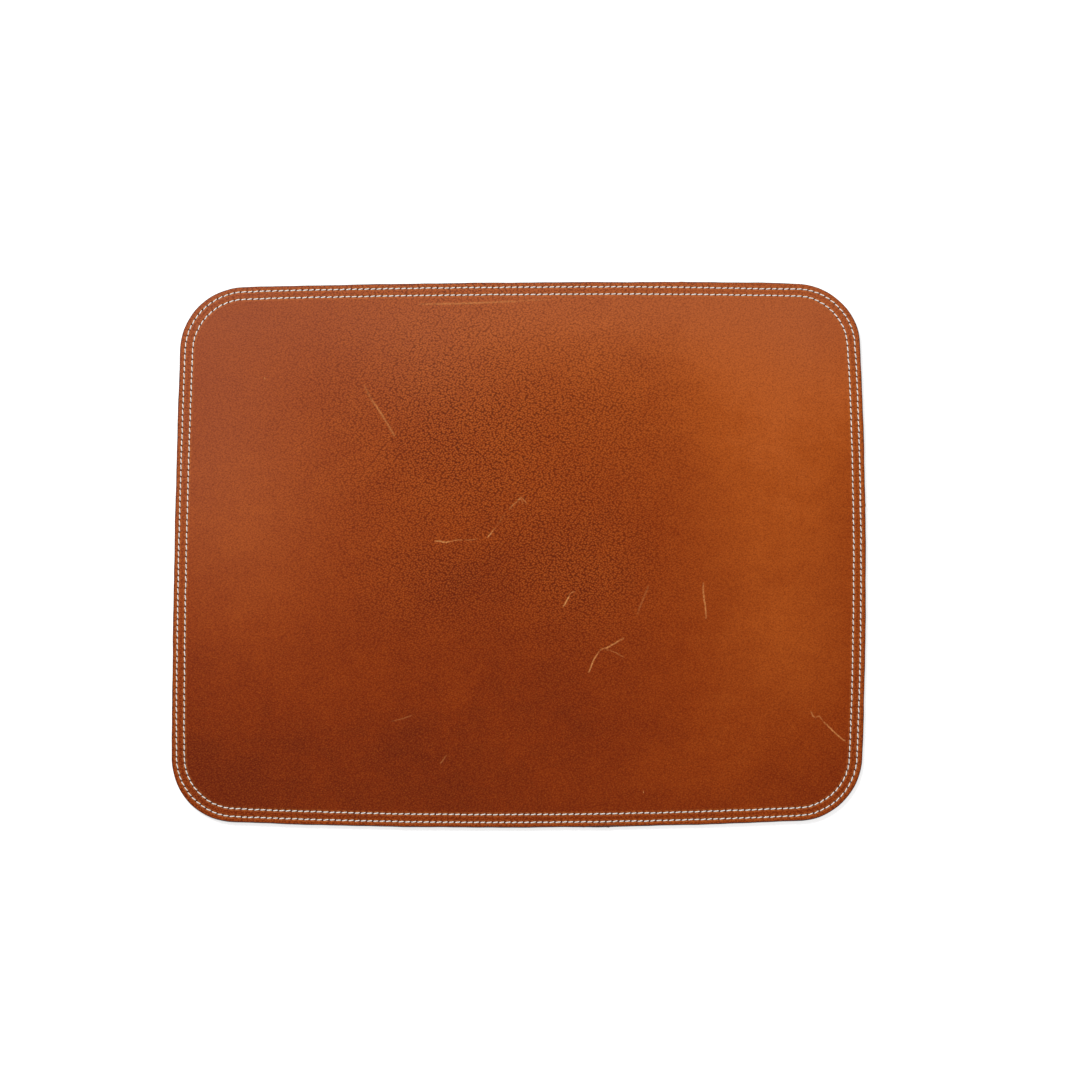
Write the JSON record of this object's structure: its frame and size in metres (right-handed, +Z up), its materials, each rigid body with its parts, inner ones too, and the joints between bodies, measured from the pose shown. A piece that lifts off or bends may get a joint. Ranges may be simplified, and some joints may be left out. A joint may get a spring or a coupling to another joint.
{
  "type": "desk mat",
  "caption": "Flat rectangular leather desk mat with large rounded corners, gently bowed sides and a double row of stitching round a finished edge.",
  "frame": {"origin": "middle of the footprint, on the underside that lies on the desk", "axes": "+X to the user's right along the long side, +Y to the far side of the desk, +Z up through the thickness"},
  "size_m": [0.6108, 0.482, 0.0052],
  "materials": {
    "face_leather": "waxed full-grain pull-up leather, cognac brown, mottled, satin, with light scratches",
    "lining_suede": "natural suede split, matt and fibrous",
    "contact_cement": "dried contact cement, dull amber",
    "edge_paint": "dark brown edge paint, burnished to a low sheen",
    "thread": "off-white bonded polyester thread, three-ply twist"
  },
  "bodies": {
    "root": {"top_panel": "face_leather", "lining_panel": "lining_suede", "cement_film": "contact_cement", "edge_coat": "edge_paint", "outer_needle_thread": "thread", "outer_bobbin_thread": "thread", "inner_needle_thread": "thread", "inner_bobbin_thread": "thread"}
  },
  "joints": []
}
